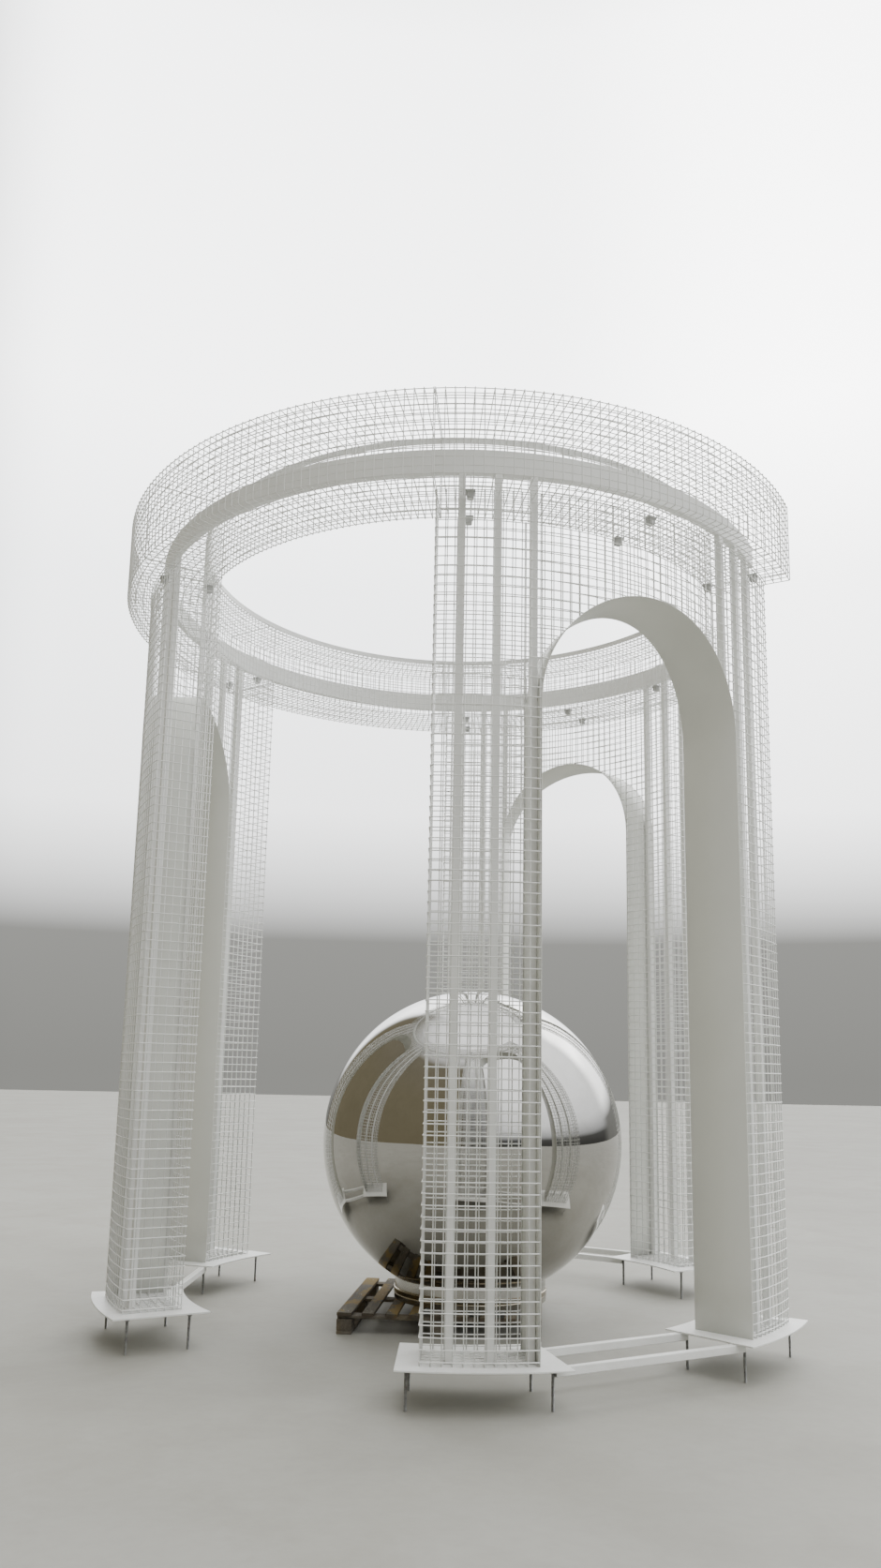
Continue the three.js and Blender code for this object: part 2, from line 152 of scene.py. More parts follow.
# Sphere, collar and pallet. A board's play and wear and a nail's play are given along two axes.
BALL_BANDS = 96
BALL_SIDES = 192
COLLAR_RADIUS = 0.485
COLLAR_SIDES = 160
# Section of the collar's 6 mm wall, as distances beyond the radius with heights above the pallet
# for the foot and the bands, and with heights above the top for the lip
COLLAR_FOOT = ((-0.006, 0.0), (0.003, 0.0), (0.004, 0.001), (0.004, 0.002), (0.004, 0.026),
               (0.0045, 0.028), (0.0065, 0.029), (0.0065, 0.033), (0.004, 0.035),
               (0.0035, 0.037), (0.0039, 0.039), (0.0083, 0.060), (0.0088, 0.062),
               (0.0085, 0.065), (0.0025, 0.067), (-0.0005, 0.069), (-0.0005, 0.071))
COLLAR_LIP = ((-0.0005, -0.003), (-0.0005, -0.001), (-0.0015, 0.0), (-0.006, -0.008))
PALLET_CENTRE = (-0.020, -0.060)
PALLET_TURN = -4.0
PALLET_WIDTH = 1.220
PALLET_LENGTH = 1.180
DECK_BOARDS = 9
DECK_EDGE_BOARD = 0.092
DECK_BOARD = 0.074
DECK_THICKNESS = 0.020
STRINGER_THICKNESS = 0.018
STRINGER_WIDTH = 0.095
BLOCK_WIDTH = 0.092
BLOCK_LENGTH = 0.140
FOOT_THICKNESS = 0.020
BOARD_STEPS = 28
BLOCK_STEPS = 4
BOARD_EDGE = 0.0025
BOARD_PLAY = (0.0008, 0.0006)
BOARD_WEAR = (0.0012, 0.0006)
BOARD_SETBACK = 0.002
BOARD_END_SHARE = 0.985
NAIL_PLACES = ((-0.018, 0.014), (0.016, -0.012))
NAIL_PLAY = (0.004, 0.006)
NAIL_PROFILE = ((0.0032, -0.004), (0.0032, -0.0006), (0.0022, -0.0002))
NAIL_SIDES = 10


DEGREES = 180 / math.pi


def polar(radius, degrees, height):
    angle = math.radians(degrees)
    return (radius * math.cos(angle), radius * math.sin(angle), height)


def end_angle(offset, radius):
    """Angle at which a pier's free end, which lies parallel to the pier's line, meets a circle."""
    return PIER_LINE_ANGLE + math.degrees(math.asin(offset / radius))


def spread(start, stop, count):
    return [start + (stop - start) * i / count for i in range(count + 1)]


class Shape:
    """Closed bodies that become one mesh object."""

    def __init__(self):
        self.points, self.faces, self.smooth, self.tones = [], [], [], []
        self.count = 0

    def store(self, points, faces, smooth, tone=0.5, flip=False):
        if flip:
            faces = [tuple(reversed(face)) for face in faces]
        base = self.count
        self.points.append(points)
        self.faces.extend(tuple(base + i for i in face) for face in faces)
        self.smooth.extend(smooth)
        self.tones.append(np.full(len(points), tone))
        self.count += len(points)

    def loft(self, rings, loop=False, smooth=True, tone=0.5):
        """Skin over rings of equal length. smooth is one flag, or one for each side of a ring."""
        rings = np.asarray(rings, float)
        spans, sides = rings.shape[0] - (0 if loop else 1), rings.shape[1]
        flags = [smooth] * sides if isinstance(smooth, bool) else list(smooth)
        faces, marks = [], []
        for i in range(spans):
            near, far = i * sides, ((i + 1) % rings.shape[0]) * sides
            for k in range(sides):
                l = (k + 1) % sides
                faces.append((near + k, near + l, far + l, far + k))
                marks.append(flags[k])
        points = rings.reshape(-1, 3)
        quads = points[np.array(faces)] - points.mean(0)
        volume = np.einsum("ij,ij->i", quads[:, 0], np.cross(quads[:, 1], quads[:, 2])).sum()
        volume += np.einsum("ij,ij->i", quads[:, 0], np.cross(quads[:, 2], quads[:, 3])).sum()
        if not loop:
            last = (rings.shape[0] - 1) * sides
            faces.append(tuple(range(sides - 1, -1, -1)))
            faces.append(tuple(last + k for k in range(sides)))
            marks += [False, False]
        self.store(points, faces, marks, tone, volume < 0)

    def wire(self, path, closed=False):
        """Round wire along a path, with mitred turns."""
        path = np.asarray(path, float)
        steps = np.diff(np.vstack([path, path[:1]]) if closed else path, axis=0)
        steps /= np.linalg.norm(steps, axis=1)[:, None]
        first = steps[0]
        helper = np.array((0.0, 0.0, 1.0)) if abs(first[2]) < 0.9 else np.array((1.0, 0.0, 0.0))
        u = np.cross(first, helper)
        u /= np.linalg.norm(u)
        v = np.cross(first, u)
        turn = (np.arange(WIRE_SIDES) + 0.5) * 2 * math.pi / WIRE_SIDES
        offsets = WIRE / 2 * (np.cos(turn)[:, None] * u + np.sin(turn)[:, None] * v)

        def mitre(offsets, along, before, after):
            plane = before + after
            return offsets - np.outer(offsets @ plane / (along @ plane), along)

        count = len(path)
        start = mitre(offsets, first, steps[-1], first) if closed else offsets
        rings = [path[0] + start]
        for i in range(1, count):
            if i < count - 1 or closed:
                ring = mitre(offsets, steps[i - 1], steps[i - 1], steps[i])
                rings.append(path[i] + ring)
                offsets = ring - np.outer(ring @ steps[i], steps[i])
            else:
                rings.append(path[i] + offsets)
        self.loft(rings, loop=closed)

    def ring_bar(self, profile, start, stop, steps, smooth, pocket=None):
        """Profile of (radius, height) points swept round the ring's axis, with open ends as deep
        as the pocket says: (profile, degrees)."""
        stations = [(profile, angle) for angle in spread(start, stop, steps)]
        if pocket:
            inside, depth = pocket
            stations = [(inside, start + depth), (inside, start)] + stations
            stations += [(inside, stop), (inside, stop - depth)]
        self.loft([[polar(r, angle, z) for r, z in outline] for outline, angle in stations],
                  smooth=smooth)

    def bar(self, outline, start, stop, matrix, smooth, pocket=None):
        """Outline of (x, y) points run from one z to another, then placed by a matrix."""
        stations = [(outline, start), (outline, stop)]
        if pocket:
            inside, depth = pocket
            stations = [(inside, start + depth), (inside, start)] + stations
            stations += [(inside, stop), (inside, stop - depth)]
        rings = [[matrix @ Vector((x, y, z)) for x, y in shape] for shape, z in stations]
        self.loft(rings, smooth=smooth)

    def lathe(self, profile, centre, sides, smooth=True, closed=False):
        """Profile of (radius, height) points turned round an upright axis."""
        turn = np.arange(sides) * 2 * math.pi / sides
        rings = [[(centre[0] + r * math.cos(t), centre[1] + r * math.sin(t), centre[2] + z)
                  for t in turn] for r, z in profile]
        self.loft(rings, loop=closed, smooth=smooth)

    def finish(self, name, material, slot, *replaced):
        mesh = bpy.data.meshes.new(name)
        points = np.vstack(self.points)
        mesh.from_pydata(points.tolist(), [], self.faces)
        mesh.polygons.foreach_set("use_smooth", self.smooth)
        tones = mesh.attributes.new("tone", "FLOAT", "POINT")
        tones.data.foreach_set("value", np.concatenate(self.tones).astype(np.float32))
        mesh.materials.append(material)
        mesh.update()
        piece = bpy.data.objects.new(name, mesh)
        bpy.context.scene.collection.objects.link(piece)
        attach(piece, "root")
        if replaced:
            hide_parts(*replaced)
        return piece


def rounded(width, depth, radius, steps=3):
    """Outline of a box section with rounded corners, and its smooth flags."""
    outline, flags = [], []
    for corner, (sx, sy) in enumerate(((1, 1), (-1, 1), (-1, -1), (1, -1))):
        cx, cy = sx * (width / 2 - radius), sy * (depth / 2 - radius)
        for i in range(steps + 1):
            angle = math.radians(90 * corner + 90 * i / steps)
            outline.append((cx + radius * math.cos(angle), cy + radius * math.sin(angle)))
            flags.append(i < steps)
    return outline, flags


def upright(radius, degrees):
    """Matrix of a piece that stands at a place of the ring and faces the axis."""
    turn = Matrix.Rotation(math.radians(degrees), 4, "Z")
    return turn @ Matrix.Translation((radius, 0.0, 0.0))


def bevelled(inner, outer, low, high):
    """Profile of (radius, height) points of a flat bar with bevelled edges."""
    return [(inner + BEVEL, low), (outer - BEVEL, low), (outer, low + BEVEL),
            (outer, high - BEVEL), (outer - BEVEL, high), (inner + BEVEL, high),
            (inner, high - BEVEL), (inner, low + BEVEL)]


def arc(radius, start, stop, height, step=2.0):
    count = max(1, math.ceil(abs(stop - start) / step))
    return [polar(radius, angle, height) for angle in spread(start, stop, count)]


def corner(before, at, after):
    """Three points that round off one turn of a path."""
    at = Vector(at)
    one = at + (Vector(before) - at).normalized() * BEND
    two = at + (Vector(after) - at).normalized() * BEND
    middle = at.lerp((one + two) / 2, BEND_DEPTH)
    return [tuple(one), tuple(middle), tuple(two)]


# Materials -------------------------------------------------------------------------------------

DUST = (0.55, 0.53, 0.48)
DUST_SHARE = 0.28
PALE_WOOD = (0.165, 0.152, 0.125)
YELLOW_PAINT = (0.23, 0.165, 0.062)
WOOD_DUST = (0.19, 0.175, 0.145)
# Painted shade colour for the sides of boards.
SHADED_SIDE_WOOD = (0.045, 0.034, 0.024)

collar_low, collar_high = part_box("sphere_collar")


class Nodes:
    """Short way to write a node tree."""

    def __init__(self, tree):
        self.tree = tree

    def node(self, kind, inputs=(), **settings):
        node = self.tree.nodes.new(kind)
        for key, value in settings.items():
            setattr(node, key, value)
        for key, value in dict(inputs).items():
            if isinstance(value, bpy.types.NodeSocket):
                self.tree.links.new(value, node.inputs[key])
            else:
                node.inputs[key].default_value = value
        return node

    def ramp(self, factor, *stops):
        node = self.node("ShaderNodeValToRGB", {"Fac": factor})
        elements = node.color_ramp.elements
        while len(elements) < len(stops):
            elements.new(0.5)
        for element, (place, value) in zip(elements, stops):
            element.position = place
            element.color = (value, value, value, 1) if isinstance(value, float) else (*value, 1)
        return node.outputs["Color"]

    def mix(self, factor, one, two):
        colours = [value if isinstance(value, bpy.types.NodeSocket) else (*value, 1)
                   for value in (one, two)]
        node = self.node("ShaderNodeMix", {0: factor, 6: colours[0], 7: colours[1]},
                         data_type="RGBA")
        return node.outputs[2]

    def math(self, operation, one, two=0.0):
        node = self.node("ShaderNodeMath", {0: one, 1: two}, operation=operation)
        return node.outputs[0]

    def axis(self, vector, letter):
        return self.node("ShaderNodeSeparateXYZ", {0: vector}).outputs[letter]

    def span(self, value, low, high, start, end, **settings):
        """The value, carried from the range low to high over to the range start to end."""
        inputs = {0: value, 1: low, 2: high, 3: start, 4: end}
        return self.node("ShaderNodeMapRange", inputs, **settings).outputs[0]


class Surface(Nodes):
    """A material, with what its nodes share."""

    def __init__(self, name):
        self.material = bpy.data.materials.new(name)
        self.material.use_nodes = True
        super().__init__(self.material.node_tree)
        self.shader = self.tree.nodes["Principled BSDF"]
        places = self.tree.nodes.new("ShaderNodeTexCoord").outputs
        self.coordinates, self.normal = places["Object"], places["Normal"]

    def stretched(self, scale, turn=0.0):
        inputs = {"Vector": self.coordinates, "Scale": scale,
                  "Rotation": (0.0, 0.0, math.radians(turn))}
        return self.node("ShaderNodeMapping", inputs).outputs["Vector"]

    def noise(self, scale, detail=3.0, rough=0.5, vector=None, distortion=0.0):
        inputs = {"Vector": vector or self.coordinates, "Scale": scale, "Detail": detail,
                  "Roughness": rough, "Distortion": distortion}
        return self.node("ShaderNodeTexNoise", inputs).outputs["Fac"]

    def height(self):
        return self.axis(self.coordinates, "Z")

    def tone(self):
        return self.node("ShaderNodeAttribute", attribute_name="tone").outputs["Fac"]

    def bump(self, height, strength, distance, normal=None):
        inputs = {"Height": height, "Strength": strength, "Distance": distance}
        if normal:
            inputs["Normal"] = normal
        return self.node("ShaderNodeBump", inputs).outputs["Normal"]

    def set(self, **values):
        for key, value in values.items():
            socket = self.shader.inputs[key.replace("_", " ")]
            if isinstance(value, bpy.types.NodeSocket):
                self.tree.links.new(value, socket)
            else:
                socket.default_value = value
        return self.material


def paint(name, light, dark, dust):
    """Satin paint with slow changes of tone, and dust that gathers low down."""
    m = Surface(name)
    broad = m.noise(1.7, 4.0, 0.6)
    fine = m.noise(160.0, 2.0)
    colour = m.mix(m.ramp(broad, (0.35, 0.0), (0.7, 1.0)), light, dark)
    low = m.span(m.height(), PLATE_TOP, 0.75, 1.0, 0.0)
    speck = m.ramp(m.noise(9.0, 5.0, 0.7), (0.45, 0.0), (0.75, 1.0))
    dusty = m.math("MULTIPLY", m.math("MULTIPLY", low, speck), DUST_SHARE)
    colour = m.mix(dusty, colour, dust)
    rough = m.span(broad, 0.3, 0.7, 0.38, 0.55)
    return m.set(Base_Color=colour, Roughness=rough,
                 Normal=m.bump(fine, 0.12, 0.0006), Coat_Weight=0.15, Coat_Roughness=0.25)


def zinc(name, light, dark, rust):
    """Galvanised steel with a patchy bloom and a few rust stains."""
    m = Surface(name)
    patch = m.noise(60.0, 4.0, 0.65)
    colour = m.mix(m.ramp(patch, (0.35, 0.0), (0.65, 1.0)), light, dark)
    stain = m.ramp(m.noise(22.0, 5.0, 0.7), (0.58, 0.0), (0.72, 0.7))
    colour = m.mix(stain, colour, rust)
    rough = m.span(patch, 0.3, 0.7, 0.3, 0.55)
    return m.set(Base_Color=colour, Metallic=0.78, Roughness=rough,
                 Normal=m.bump(patch, 0.2, 0.0005))


def mirror(name, clean, hazy, shaded_low_down):
    """Mirror polish on slightly wavy sheet, hazy in places, with painted shade that darkens it low
    down.
    """
    m = Surface(name)
    broad = m.noise(2.2, 2.0, 0.4)
    haze = m.noise(7.0, 5.0, 0.65)
    rough = m.span(haze, 0.45, 0.8, 0.012, 0.055)
    colour = m.mix(m.ramp(haze, (0.4, 0.0), (0.8, 1.0)), clean, hazy)
    # Painted shade: the reflection is darkened towards the bottom of the sphere.
    colour = m.mix(m.span(m.height(), 0.3, 1.25, 0.7, 0.0), colour, shaded_low_down)
    return m.set(Base_Color=colour, Metallic=1.0, Roughness=rough,
                 Normal=m.bump(broad, 0.25, 0.004))


def brushed(name, light, dark, pallet_reflection):
    """Dulled stainless sheet; the collar's foot and its flared band are tinted ochre and darkened,
    a painted reflection of the pallet and painted shade.
    """
    m = Surface(name)
    grain = m.noise(6.0, 3.0, 0.6, m.stretched((4.0, 4.0, 220.0)))
    haze = m.noise(3.0, 2.0, 0.5)
    rough = m.span(haze, 0.3, 0.8, 0.22, 0.3)
    level = m.span(m.height(), collar_low.z, collar_high.z, 0.0, 1.0)
    # Painted reflection and painted shade: the foot and the flared band are tinted ochre and
    # darkened.
    reflection_band = m.ramp(level, (0.22, 0.35), (0.28, 0.85), (0.52, 0.85), (0.57, 0.0))
    colour = m.mix(reflection_band, m.mix(haze, light, dark), pallet_reflection)
    return m.set(Base_Color=colour, Metallic=1.0, Roughness=rough,
                 Normal=m.bump(grain, 0.03, 0.0002))


def timber(name, dark, light, worn_share, side_shade_share):
    """Weathered wood with patches of old yellow paint, most of them on the left boards. Faces that
    aren't level can get painted shade."""
    m = Surface(name)
    tone = m.tone()
    along = m.stretched((14.0, 1.1, 14.0), 4.0)
    grain = m.noise(5.0, 6.0, 0.62, along, 0.6)
    fibre = m.noise(34.0, 3.0, 0.6, along)
    bare = m.mix(m.ramp(grain, (0.3, 0.0), (0.7, 1.0)), dark, light)
    bare = m.mix(m.ramp(tone, (0.2, 0.0), (1.0, 0.5)), bare, PALE_WOOD)
    patch = m.noise(5.5, 4.0, 0.6, m.stretched((1.0, 0.55, 1.0)))
    spotted = m.math("ADD", patch, m.math("MULTIPLY", fibre, 0.18))
    share = m.span(m.axis(m.coordinates, "X"), -0.3, 0.0, worn_share, worn_share * 0.15)
    worn = m.math("MULTIPLY", m.ramp(spotted, (0.56, 0.0), (0.62, 0.9)), share)
    colour = m.mix(worn, bare, YELLOW_PAINT)
    dust = m.ramp(m.noise(3.0, 4.0), (0.5, 0.0), (0.85, 0.3))
    colour = m.mix(dust, colour, WOOD_DUST)
    # Painted shade: faces that aren't level are darkened, as much as the side share says.
    level = m.math("ABSOLUTE", m.axis(m.normal, "Z"))
    sides = m.ramp(level, (0.3, side_shade_share), (0.8, 0.0))
    colour = m.mix(sides, colour, SHADED_SIDE_WOOD)
    return m.set(Base_Color=colour, Roughness=0.85, Specular_IOR_Level=0.15,
                 Normal=m.bump(grain, 0.5, 0.002, m.bump(fibre, 0.35, 0.0008)))


def concrete(name, light, dark, stain, grain):
    m = Surface(name)
    broad = m.noise(0.35, 5.0, 0.6)
    patch = m.noise(1.5, 5.0, 0.62, distortion=0.4)
    fine = m.noise(14.0, 5.0, 0.65)
    colour = m.mix(m.ramp(broad, (0.3, 0.0), (0.7, 1.0)), light, dark)
    colour = m.mix(m.ramp(patch, (0.45, 0.0), (0.68, 0.6)), colour, stain)
    colour = m.mix(m.ramp(fine, (0.4, 0.0), (0.8, 0.25)), colour, grain)
    return m.set(Base_Color=colour, Roughness=0.8, Normal=m.bump(fine, 0.15, 0.002))


WHITE = paint("white_paint", (0.77, 0.775, 0.755), (0.71, 0.715, 0.69), DUST)
LINING = paint("lining_paint", (0.672, 0.680, 0.636), (0.630, 0.638, 0.594), DUST)
ZINC = zinc("zinc_steel", (0.42, 0.42, 0.41), (0.26, 0.26, 0.255), (0.24, 0.15, 0.09))
# The joint stubs are white paint; this grey copy of it is painted shade.
SHADED_STUB_PAINT = paint("shaded_stub_paint", (0.46, 0.465, 0.455), (0.38, 0.385, 0.37), (0.33, 0.29, 0.24))
MIRROR = mirror("mirror_steel", (0.45, 0.445, 0.43), (0.40, 0.395, 0.375), (0.32, 0.305, 0.265))
STAINLESS = brushed("stainless", (0.60, 0.595, 0.57), (0.54, 0.535, 0.51), (0.27, 0.225, 0.14))
DECK_WOOD = timber("deck_wood", (0.070, 0.062, 0.048), (0.150, 0.134, 0.103),
                   worn_share=1.0, side_shade_share=0.65)
FRAME_WOOD = timber("frame_wood", (0.070, 0.061, 0.047), (0.125, 0.111, 0.087),
                    worn_share=0.2, side_shade_share=0.0)
FLOOR = concrete("yard_floor", (0.325, 0.321, 0.288), (0.276, 0.271, 0.240),
                 (0.255, 0.247, 0.214), (0.225, 0.219, 0.190))


# Welded mesh -----------------------------------------------------------------------------------

R = WIRE / 2
CROSS = 2 * R - FUSE
DEEP = R + CROSS


def wall_rows():
    return spread(PLATE_TOP + FIRST_ROW, CANOPY_BOTTOM - R, WALL_ROWS)


def pier_wires(azimuth, side):
    """Cage of a pier: U-shaped rows outside, uprights inside, and the level mesh on the plate."""
    shape = Shape()

    def at(angle):
        return azimuth + side * angle

    def last(radius):
        return end_angle(PIER_END_OFFSET - DEEP, radius)

    jamb = JAMB_ANGLE + (LINING_THICKNESS + JOINT_GAP) / WALL_RADIUS * DEGREES
    outer, inner = WALL_RADIUS - R, INNER_RADIUS + R
    end_outer = end_angle(PIER_END_OFFSET - R, outer)
    end_inner = end_angle(PIER_END_OFFSET - R, inner)

    for z in wall_rows():
        out = arc(outer, at(jamb), at(end_outer), z)
        back = arc(inner, at(end_inner), at(jamb), z)
        path = out[:-1] + corner(out[-2], out[-1], back[0])
        path += corner(out[-1], back[0], back[1]) + back[1:]
        shape.wire(path)

    foot, head = PLATE_TOP, CANOPY_BOTTOM - JOINT_GAP
    deep_outer, deep_inner = WALL_RADIUS - DEEP, INNER_RADIUS + DEEP
    first = jamb + R / inner * DEGREES
    outer_angles = spread(first, last(deep_outer), PIER_OUTER_CELLS)
    inner_angles = spread(first, last(deep_inner), PIER_INNER_CELLS)
    for radius, angles in ((deep_outer, outer_angles), (deep_inner, inner_angles)):
        for angle in angles:
            shape.wire([polar(radius, at(angle), foot), polar(radius, at(angle), head)])
    floor = PLATE_TOP + R
    for angle in outer_angles:
        shape.wire([polar(deep_outer, at(angle), floor), polar(deep_inner, at(angle), floor)])
    for radius in spread(deep_outer, deep_inner, PIER_END_CELLS)[1:-1]:
        end = at(last(radius))
        shape.wire([polar(radius, end, foot), polar(radius, end, head)])
        shape.wire(arc(radius, at(first), end, floor + CROSS))
    return shape


def arch_edge(offset=0.0):
    """Half width and rise of the arch at its own edge, grown by an offset."""
    return JAMB_ANGLE / DEGREES * WALL_RADIUS + offset, ARCH_RISE + offset


def spandrel_wires(azimuth):
    """Mesh over the arch, on both faces of the wall."""
    shape = Shape()
    end = JAMB_ANGLE + (LINING_THICKNESS - JOINT_GAP) / WALL_RADIUS * DEGREES
    half, rise = arch_edge(LINING_THICKNESS + R / 2)
    for radius, deep, cells in ((WALL_RADIUS - R, WALL_RADIUS - DEEP, SPANDREL_OUTER_CELLS),
                                (INNER_RADIUS + R, INNER_RADIUS + DEEP, SPANDREL_INNER_CELLS)):
        for z in wall_rows():
            if z <= ARCH_SPRING:
                continue
            lift = (z - ARCH_SPRING) / rise
            if lift >= 1:
                shape.wire(arc(radius, azimuth - end, azimuth + end, z))
                continue
            clear = half * math.sqrt(1 - lift * lift) / WALL_RADIUS * DEGREES
            if end - clear > SHORTEST_WIRE:
                for side in (-1, 1):
                    shape.wire(arc(radius, azimuth + side * clear, azimuth + side * end, z))
        for angle in spread(-end + R / radius * DEGREES, end - R / radius * DEGREES, cells):
            across = min(1.0, abs(angle) / DEGREES * WALL_RADIUS / half)
            foot = ARCH_SPRING + rise * math.sqrt(1 - across * across)
            shape.wire([polar(deep, azimuth + angle, foot),
                        polar(deep, azimuth + angle, CANOPY_BOTTOM - JOINT_GAP)])
    return shape


def canopy_wires(azimuth, half, cells, free_ends):
    """Box of mesh: closed hoops outside, rings inside, and a mesh panel at each free end."""
    shape = Shape()
    outer, inner = CANOPY_RADIUS - R, INNER_RADIUS + R
    low, high = CANOPY_BOTTOM + R, CANOPY_TOP - R
    end = half - (R + JOINT_GAP) / inner * DEGREES
    edges = ((outer, low), (outer, high), (inner, high), (inner, low))
    for angle in spread(-end, end, cells):
        turns = [polar(radius, azimuth + angle, z) for radius, z in edges]
        path = []
        for i, at in enumerate(turns):
            path += corner(turns[i - 1], at, turns[(i + 1) % 4])
        shape.wire(path, closed=True)
    span = (azimuth - end, azimuth + end)
    for z in spread(low, high, CANOPY_ROWS)[1:-1]:
        shape.wire(arc(outer - CROSS, *span, z))
        shape.wire(arc(inner + CROSS, *span, z))
        for side in free_ends:
            angle = azimuth + side * (end - CROSS / inner * DEGREES)
            shape.wire([polar(outer, angle, z), polar(inner, angle, z)])
    for radius in spread(outer, inner, CANOPY_RINGS)[1:-1]:
        shape.wire(arc(radius, *span, high - CROSS))
        shape.wire(arc(radius, *span, low + CROSS))
        for side in free_ends:
            angle = azimuth + side * (end - 2 * CROSS / inner * DEGREES)
            shape.wire([polar(radius, angle, low), polar(radius, angle, high)])
    for radius, z in edges:
        r = radius + CROSS * (-1 if radius == outer else 1)
        shape.wire(arc(r, *span, z + CROSS * (1 if z == low else -1)))
    return shape


# Steelwork -------------------------------------------------------------------------------------

def base_plate(azimuth, side):
    """Plate with a bevelled edge, and the weld pads of its posts."""
    shape = Shape()
    profile = bevelled(*PLATE_RADII, PLATE_TOP - PLATE_THICKNESS, PLATE_TOP)

    def turn(radius, part):
        end = end_angle(PLATE_END_OFFSET, radius)
        return azimuth + side * (PLATE_START_ANGLE + (end - PLATE_START_ANGLE) * part)

    shape.loft([[polar(r, turn(r, part), z) for r, z in profile]
                for part in spread(0.0, 1.0, PLATE_STEPS)], smooth=False)
    foot, _ = rounded(PAD_WIDTH, PAD_WIDTH, PAD_ROUNDINGS[0])
    head, _ = rounded(POST_SIZE, POST_SIZE, PAD_ROUNDINGS[1])
    for degrees in POST_ANGLES:
        place = upright(POST_RADIUS, azimuth + side * degrees)
        shape.loft([[place @ Vector((x, y, z)) for x, y in outline]
                    for outline, z in ((foot, PLATE_TOP), (head, PLATE_TOP + PAD_HEIGHT))])
    return shape


def posts(azimuth, side):
    shape = Shape()
    outline, flags = rounded(POST_SIZE, POST_SIZE, POST_ROUNDING)
    for degrees in POST_ANGLES:
        place = upright(POST_RADIUS, azimuth + side * degrees)
        shape.bar(outline, PLATE_TOP, BEAM_BOTTOM, place, flags)
    return shape


def thread(shape, radius, degrees, low, high):
    """Threaded rod: a zigzag profile turned round its own axis."""
    outer, inner = ROD_DIAMETER / 2, ROD_DIAMETER / 2 - THREAD_DEPTH
    turns = round((high - low) / ROD_PITCH)
    profile = [(inner, low)]
    for i in range(turns):
        z = low + (high - low) * i / turns
        profile += [(outer, z + ROD_PITCH / 2), (inner, z + ROD_PITCH * THREAD_FLANK)]
    shape.lathe(profile, polar(radius, degrees, 0.0), THREAD_SIDES, smooth=False)


def hexagon(shape, centre, low, high, turn):
    """Hexagon nut with chamfered corners."""
    corner_radius, face_radius = NUT_ACROSS / math.sqrt(3), NUT_ACROSS / 2 * NUT_FACE
    rings = []
    for radius, z in ((face_radius, low), (corner_radius, low + NUT_BEVEL),
                      (corner_radius, high - NUT_BEVEL), (face_radius, high)):
        corners = [polar(radius, turn + 60 * k, z) for k in range(6)]
        rings.append([(centre[0] + x, centre[1] + y, z) for x, y, z in corners])
    shape.loft(rings, smooth=False)


def rod_places(azimuth, side):
    for radius in ROD_RADII:
        for angle in (ROD_START_ANGLE, end_angle(ROD_END_OFFSET, radius)):
            yield radius, azimuth + side * angle


def rods(azimuth, side):
    shape = Shape()
    for radius, angle in rod_places(azimuth, side):
        thread(shape, radius, angle, 0.0, PLATE_TOP - PLATE_THICKNESS)
    return shape


def nuts(azimuth, side, draw):
    """A washer and a nut on each rod, right under the plate."""
    shape = Shape()
    high = PLATE_TOP - PLATE_THICKNESS
    low = high - WASHER_THICKNESS
    washer = ((WASHER_RADIUS - WASHER_BEVEL, low), (WASHER_RADIUS, low + WASHER_BEVEL),
              (WASHER_RADIUS, high - WASHER_BEVEL), (WASHER_RADIUS - WASHER_BEVEL, high))
    for radius, angle in rod_places(azimuth, side):
        centre = polar(radius, angle, 0.0)
        shape.lathe(washer, centre, WASHER_SIDES, smooth=False)
        hexagon(shape, centre, low - NUT_HEIGHT, low, draw.uniform(0, 60))
    return shape


def tie_tube(azimuth, radius):
    shape = Shape()
    angle = math.radians(ROD_START_ANGLE)
    half = radius * math.sin(angle) - ROD_DIAMETER / 2 - JOINT_GAP
    top = PLATE_TOP - PLATE_THICKNESS - JOINT_GAP
    bore = TIE_SIZE - 2 * TUBE_WALL
    outline, flags = rounded(TIE_SIZE, TIE_SIZE, TIE_ROUNDINGS[0])
    inside, _ = rounded(bore, bore, TIE_ROUNDINGS[1])
    level = Matrix.Translation((0, 0, top - TIE_SIZE / 2)) @ Matrix.Rotation(math.pi / 2, 4, "X")
    place = upright(radius * math.cos(angle), azimuth) @ level
    shape.bar(outline, -half, half, place, flags, pocket=(inside, POCKET_DEPTH))
    return shape


def ring_beam(azimuth, half):
    shape = Shape()
    end = half - JOINT_GAP / 2 / POST_RADIUS * DEGREES
    middle = BEAM_BOTTOM + BEAM_HEIGHT / 2
    outline, flags = rounded(BEAM_WIDTH, BEAM_HEIGHT, BEAM_ROUNDINGS[0])
    inside, _ = rounded(BEAM_WIDTH - 2 * TUBE_WALL, BEAM_HEIGHT - 2 * TUBE_WALL, BEAM_ROUNDINGS[1])
    profile, bore = ([(POST_RADIUS + x, middle + y) for x, y in ring]
                     for ring in (outline, inside))
    shape.ring_bar(profile, azimuth - end, azimuth + end, round(half * 2 / SWEEP_STEP), flags,
                   pocket=(bore, POCKET_DEPTH / POST_RADIUS * DEGREES))
    return shape


def top_rim(azimuth, half):
    shape = Shape()
    end = half - JOINT_GAP / 2 / INNER_RADIUS * DEGREES
    profile = bevelled(INNER_RADIUS - RIM_THICKNESS - JOINT_GAP, INNER_RADIUS - JOINT_GAP,
                       CANOPY_TOP - RIM_HEIGHT, CANOPY_TOP)
    shape.ring_bar(profile, azimuth - end, azimuth + end, round(half * 2 / SWEEP_STEP), False)
    return shape


